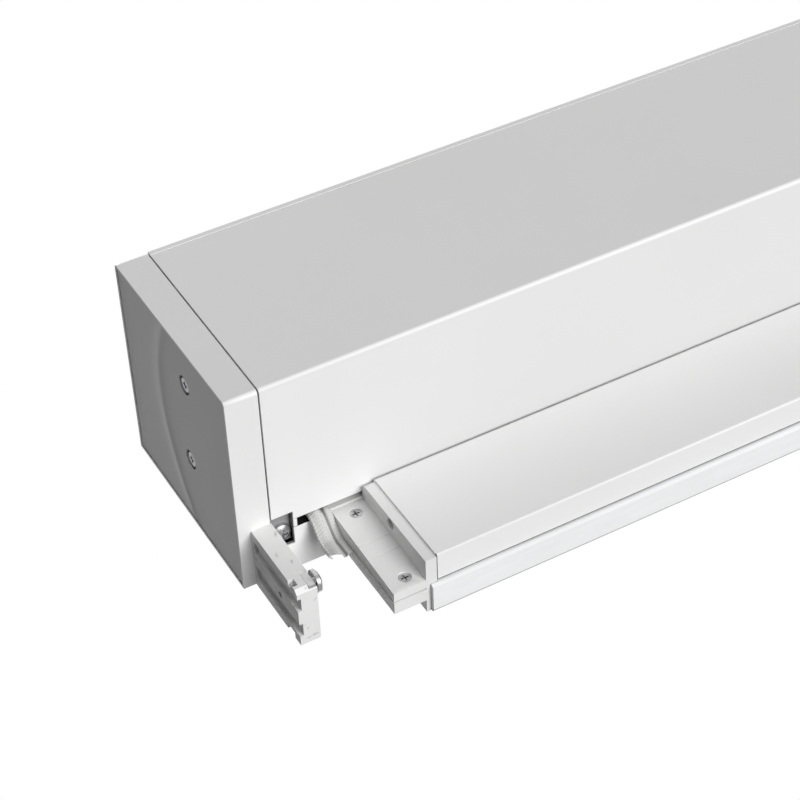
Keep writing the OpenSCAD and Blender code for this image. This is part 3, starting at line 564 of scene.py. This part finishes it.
# %% Choose the finishes
FINISH = {
    "white_coat": white_extrusion,
    "white_plastic": white_plastic,
    "white_rubber": white_seal,
    "screen_cloth": screen_cloth,
    "zip_cloth": zip_cloth,
    "zinc_steel": zinc_steel,
    "plain_steel": plain_steel,
    "mill_aluminium": mill_aluminium,
    "dark_plastic": dark_plastic,
}
OWN_FINISH = {
    "back_profile": white_box,
    "front_cover": white_box,
    "end_plate_left": bowed_plate,
    "end_plate_right": white_plate,
}
for side in SIDES:
    OWN_FINISH["end_cap_" + side] = white_cap
    OWN_FINISH["rail_spigot_" + side] = foot_plastic
    OWN_FINISH["clamp_screws_" + side] = clamp_zinc
    OWN_FINISH["plate_screws_" + side] = screw_zinc_painted_shade
print("finishes by slot:", len(FINISH), "and by piece:", len(OWN_FINISH))

# %% Put them on
def dress(piece, material):
    piece.data.materials.clear()
    piece.data.materials.append(material)


for row in frame["record"]["subparts"]:
    name = row["node"]
    dress(frame["nodes"][name], OWN_FINISH.get(name, FINISH[row["material_slot"]]))

# %% [markdown]
# ## Softer edges
# A real edge is never perfectly sharp: paint and moulding round it by a few tenths of a millimetre,
# and that edge catches a line of light. A Weld modifier joins the loose triangles, Decimate makes
# whole flat faces of them, and a small Bevel rounds what is sharper than 40 degrees. The mesh
# itself stays as it is.

# %% Edge modifiers
EDGE = 0.25 * MM
PAIRED = ("end_cap_", "end_plate_", "rail_spigot_", "hem_plug_", "clamp_front_", "clamp_back_")
LONG = ["back_profile", "front_cover", "hem_bar", "hem_seal"]


def soften(piece):
    weld = piece.modifiers.new("join", "WELD")
    weld.merge_threshold = 0.005 * MM
    flatten = piece.modifiers.new("whole_faces", "DECIMATE")
    flatten.decimate_type = "DISSOLVE"
    flatten.angle_limit = math.radians(1)
    bevel = piece.modifiers.new("edges", "BEVEL")
    bevel.width = EDGE
    bevel.segments = 2
    bevel.limit_method = "ANGLE"
    bevel.angle_limit = math.radians(40)
    bevel.harden_normals = True
    bevel.use_clamp_overlap = True


softened = LONG + [kind + side for side in SIDES for kind in PAIRED]
for name in softened:
    soften(frame["nodes"][name])
print("softened", len(softened), "pieces")

# %% [markdown]
# ## The idler's spring
# Inside the idler plug a coil spring holds the pin out. The frame's rigid coil can't get shorter,
# so it is made again here. A bevelled curve would do, but a Screw modifier needs fewer numbers: it
# carries a circle of wire round the roller's axis, and the two ends are closed afterwards.

# %% Coil
WIRE_R = 0.8 * MM
WIRE_POINTS = 12
COILS = 5
COIL_STEPS = 28

spring_low, spring_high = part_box("idler_spring")
coil_length = spring_high.x - spring_low.x
coil_radius = (spring_high.z - spring_low.z) / 2 - WIRE_R
bpy.ops.mesh.primitive_circle_add(vertices=WIRE_POINTS, radius=WIRE_R)
idler_coil = bpy.context.object
idler_coil.name = "idler_coil"
for point in idler_coil.data.vertices:
    point.co.y += coil_radius
screw = idler_coil.modifiers.new("turns", "SCREW")
screw.axis = "X"
screw.screw_offset = (coil_length - 2 * WIRE_R) / COILS
screw.iterations = COILS
screw.steps = COIL_STEPS
screw.render_steps = COIL_STEPS
bpy.ops.object.modifier_apply(modifier="turns")
bpy.ops.object.mode_set(mode="EDIT")
bpy.ops.mesh.select_all(action="SELECT")
bpy.ops.mesh.fill_holes(sides=WIRE_POINTS)
bpy.ops.mesh.select_all(action="SELECT")
bpy.ops.mesh.normals_make_consistent(inside=False)
bpy.ops.transform.translate(value=(spring_low.x + WIRE_R, roll_axis.y, roll_axis.z))
bpy.ops.object.mode_set(mode="OBJECT")
bpy.ops.object.shade_smooth_by_angle(angle=math.radians(50))
bpy.ops.object.select_all(action="DESELECT")
print("coil of", COILS, "turns,", round(coil_length / MM, 1), "mm long")

# %% Dress the coil, hang it on the pin and give it its own mesh
dress(idler_coil, zinc_steel)
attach(idler_coil, "idler_pin")
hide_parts("idler_spring")
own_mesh(idler_coil)

# %% [markdown]
# ## Making cloth
# All the cloth here is held in shape: wound on a tube, stretched between two bars or folded round
# a zip. So it isn't simulated. Each piece starts as a flat grid, its points are moved to where that
# thread of the cloth lies, and a Solidify modifier gives it its thickness, half to each side.

# %% A helper for cloth
def cloth_piece(name, columns, rows, thickness, place):
    """A grid of columns by rows of points, each put where place(column, row) says."""
    bpy.ops.mesh.primitive_grid_add(x_subdivisions=columns - 1, y_subdivisions=rows - 1, size=1)
    piece = bpy.context.object
    piece.name = name
    for point in piece.data.vertices:
        column = round((point.co.x + 0.5) * (columns - 1))
        row = round((0.5 - point.co.y) * (rows - 1))
        point.co = place(column, row)
    cloth = piece.modifiers.new("cloth", "SOLIDIFY")
    cloth.thickness = thickness
    cloth.offset = 0
    bpy.ops.object.modifier_apply(modifier="cloth")
    return piece


def eased(share):
    """Runs from 0 to 1 with a gentle start and end."""
    return share * share * (3 - 2 * share)


# %% [markdown]
# ## The hanging sheet
# The sheet leaves the wall side of the roll, passes the slot and steps back to the hem bar, which
# holds its lower edge. It is made as one strip along that route.

# %% Sheet
TURN_TOP = under - 0.2 * MM
TURN_LOW = under - 0.45 * MM
TURN_ROWS = 40
SHEET_COLUMNS = 61
SHEET_THICKNESS = 0.4 * MM
sheet_half = -roll_low.x
clamped_half = -hem_low.x - 0.2 * MM

route = [(sheet_y, under * share) for share in (0, 0.3, 0.6, 0.9, 1)]
for step in range(TURN_ROWS + 1):
    share = step / TURN_ROWS
    y = sheet_y + (clamp_y - sheet_y) * eased(share)
    route.append((y, TURN_TOP + (TURN_LOW - TURN_TOP) * share))
free_rows = len(route)
route += [(clamp_y, TURN_LOW - 0.4 * MM), (clamp_y, sheet_low.z)]


def sheet_point(column, row):
    half = sheet_half if row < free_rows else clamped_half
    along = column / (SHEET_COLUMNS - 1)
    return (half * (2 * along - 1), *route[row])


hanging_sheet = cloth_piece(
    "hanging_sheet", SHEET_COLUMNS, len(route), SHEET_THICKNESS, sheet_point)
bpy.ops.object.select_all(action="DESELECT")
dress(hanging_sheet, screen_cloth)
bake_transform(hanging_sheet)
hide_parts("fabric_drop")
print("hanging sheet", round(2 * sheet_half, 4), "m wide")

# %% [markdown]
# ## The roll
# With the blind closed, seven and a half turns of the same cloth lie on the tube. A plain cylinder
# would hide that. One spiral, with a hair's breadth between its turns, shows the layers at the
# roll's ends. The zip bands wind up beside it in the same way.

# %% Wound pieces
ROLL_TURNS = 7.5
STEPS_A_TURN = 72
LAYER_SHARE = 0.88
tube_low, tube_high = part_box("roller_tube")
tube_radius = (tube_high.z - tube_low.z) / 2
roll_radius = (roll_high.z - roll_low.z) / 2
layer = (roll_radius - tube_radius) / ROLL_TURNS


def wound(name, node, slot):
    low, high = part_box(node)

    def spiral_point(column, row):
        angle = 2 * math.pi * row / STEPS_A_TURN
        wound_off = row / STEPS_A_TURN * (ROLL_TURNS - 1) / ROLL_TURNS
        radius = roll_radius - layer * (0.5 + wound_off)
        y = roll_axis.y + radius * math.cos(angle)
        z = roll_axis.z + radius * math.sin(angle)
        return ((low.x, high.x)[column], y, z)

    rows = int(ROLL_TURNS * STEPS_A_TURN) + 1
    piece = cloth_piece(name, 2, rows, layer * LAYER_SHARE, spiral_point)
    for face in piece.data.polygons:
        face.use_smooth = abs(face.normal.x) < 0.5
    bpy.ops.object.select_all(action="DESELECT")
    dress(piece, FINISH[slot])
    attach(piece, "roller")
    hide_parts(node)
    return piece


fabric_wound = wound("fabric_wound", "fabric_roll", "screen_cloth")
for side in SIDES:
    wound("zip_wound_" + side, "zip_roll_" + side, "zip_cloth")

# %% [markdown]
# ## The zip band's shape
# Beside the sheet a thicker tape carries half a zip, which runs in the side rail. Across its width
# the tape is not flat: the row of teeth is a ribbed bead that runs into a soft, wide roll, and a
# narrower fold lies next to the block. The folds are listed in millimetres, as (distance from the
# blind's end, distance out of the band's plane). Inside the cassette they lie flatter.

# %% Cross-section of the band
TOOTH_PITCH = 1.2 * MM
TOOTH_HEIGHT = 0.3 * MM
RIB_HEIGHT = 0.25 * MM
TOOTH_END_X = 34 * MM
BEAD_X = 32.1 * MM
BEAD_R = 0.85 * MM
FLAT_OUT = 0.25 * MM
OPENING = 4 * MM
FOLDS = [
    (32.7, 1.4), (33.3, 1.8), (34.0, 2.1), (34.7, 2.2), (35.3, 2.0), (35.8, 1.5), (36.1, 0.7),
    (36.3, 0.1), (37.4, 0.0), (37.8, 0.7), (38.3, 1.2), (39.0, 1.3), (39.8, 0.85), (40.6, 0.2),
]


def band_section(z):
    """The band's cross-section at a height, as (distance from the end, distance out)."""
    tooth = 0.5 + 0.5 * math.cos(2 * math.pi * z / TOOTH_PITCH)
    radius = BEAD_R + TOOTH_HEIGHT * tooth
    points = []
    for step in range(11):
        angle = math.radians(190 - 19 * step)
        points.append((BEAD_X - radius * math.sin(angle), radius * math.cos(angle)))
    open_share = 0.25 + 0.75 * eased(min(1, max(0, (under + OPENING - z) / OPENING)))
    for x, out in ((x * MM, out * MM) for x, out in FOLDS):
        rib = RIB_HEIGHT * tooth * max(0, TOOTH_END_X - x) / (TOOTH_END_X - BEAD_X)
        points.append((x, FLAT_OUT + (out - FLAT_OUT) * open_share + rib))
    return points


print("points across the band:", len(band_section(0)))

# %% [markdown]
# ## The zip bands
# Below the slot the band bends back to the clamp block and ends in a short free tail with a
# rounded corner. It leaves its plane by an eased curve, so that it lengthens into a straight line
# when the hem bar goes down. The rows of points are close together where the teeth show, four for
# each tooth, and far apart inside the cassette.

# %% Bands
BEND_TOP = under + 0.6 * MM
BEND_HEIGHT = 12 * MM
BEND_LOW = BEND_TOP - BEND_HEIGHT
TAIL_END = under - 20 * MM
FINE_STEP = 0.3 * MM
TAPE_THICKNESS = 0.4 * MM
ROUNDED_FROM = 37 * MM
CORNER_RISE = 2.8 * MM
CORNER_REACH = 4 * MM

fine_top = under * 14 / 16
fine_rows = math.ceil((fine_top - TAIL_END) / FINE_STEP)
heights = [under * step / 16 for step in range(15)]
heights += [max(TAIL_END, fine_top - FINE_STEP * step) for step in range(1, fine_rows + 1)]
heights = [round(z, 6) for z in heights]
sections = [band_section(z) for z in heights]


def zip_band(side, mirror):
    def band_point(column, row):
        z = heights[row]
        x, out = sections[row][column]
        bent = eased(min(1, max(0, (BEND_TOP - z) / BEND_HEIGHT)))
        plane_y = sheet_y + (clamp_y - sheet_y) * bent
        near_end = max(0, 1 - (z - TAIL_END) / CORNER_REACH)
        corner = max(0, ROUNDED_FROM - x) / (ROUNDED_FROM - BEAD_X)
        lift = near_end * corner * corner * CORNER_RISE
        return (mirror * (cap_low.x + x), plane_y - out, z + lift)

    piece = cloth_piece(
        "zip_band_" + side, len(sections[0]), len(heights), TAPE_THICKNESS, band_point)
    bpy.ops.object.mode_set(mode="EDIT")
    bpy.ops.mesh.select_all(action="SELECT")
    bpy.ops.mesh.normals_make_consistent(inside=False)
    bpy.ops.object.mode_set(mode="OBJECT")
    bpy.ops.object.shade_smooth_by_angle(angle=math.radians(60))
    bpy.ops.object.select_all(action="DESELECT")
    dress(piece, zip_cloth)
    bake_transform(piece)
    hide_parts("zip_" + side)


print("zip tail ends", round((under - TAIL_END) / MM, 1), "mm below the cassette")

# %% [markdown]
# ## The tabs in the clamp blocks
# The band's inner edge goes on between the two halves of the clamp block, which grip it there. That
# part stays flat, so it is a thin plate that goes with the hem bar. The right-hand band and tab are
# mirror images of the left-hand ones.

# %% Tabs, and both sides made
TAB_OUT = 39.6 * MM
TAB_IN = 54.5 * MM
TAB_HALF = 0.2 * MM
tab_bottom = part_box("zip_left")[0].z
tab_top = BEND_LOW - 1 * MM


def clamp_tab(side, mirror):
    bpy.ops.mesh.primitive_cube_add(size=1)
    piece = bpy.context.object
    piece.name = "zip_tab_" + side
    for point in piece.data.vertices:
        x = cap_low.x + (TAB_IN if point.co.x > 0 else TAB_OUT)
        y = clamp_y + (TAB_HALF if point.co.y > 0 else -TAB_HALF)
        z = tab_top if point.co.z > 0 else tab_bottom
        point.co = (mirror * x, y, z)
    bpy.ops.object.mode_set(mode="EDIT")
    bpy.ops.mesh.select_all(action="SELECT")
    bpy.ops.mesh.normals_make_consistent(inside=False)
    bpy.ops.mesh.bevel(offset=0.1 * MM, segments=1)
    bpy.ops.object.mode_set(mode="OBJECT")
    bpy.ops.object.select_all(action="DESELECT")
    dress(piece, zip_cloth)
    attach(piece, "hem_bar")


for side, mirror in zip(SIDES, (1, -1)):
    zip_band(side, mirror)
    clamp_tab(side, mirror)
print("tabs", round((tab_top - tab_bottom) / MM, 1), "mm long")

# %% [markdown]
# ## The floor
# A pale floor far below gives the other views something to stand over. It casts no shadow, so it
# doesn't stop the lower sun. Floor, hem bar and sheet throw no light back at the cassette, because
# its white underside would then clip where the photograph's stays even.

# %% Floor
FLOOR_Z = -1.3
FLOOR_SIZE = 90

bpy.ops.mesh.primitive_plane_add(size=FLOOR_SIZE, location=(0, 0, FLOOR_Z))
floor = bpy.context.object
floor.name = "floor"
floor.visible_shadow = False
for piece in (floor, frame["nodes"]["hem_bar"], hanging_sheet):
    piece.visible_diffuse = False
pale_floor = new_finish("pale_floor", Roughness=0.9)
tint(pale_floor, grain(pale_floor, per_metre=3, detail=2), (0.50, 0.50, 0.50), (0.56, 0.56, 0.56))
dress(floor, pale_floor)
bpy.ops.object.select_all(action="DESELECT")
print("floor at", FLOOR_Z, "m")
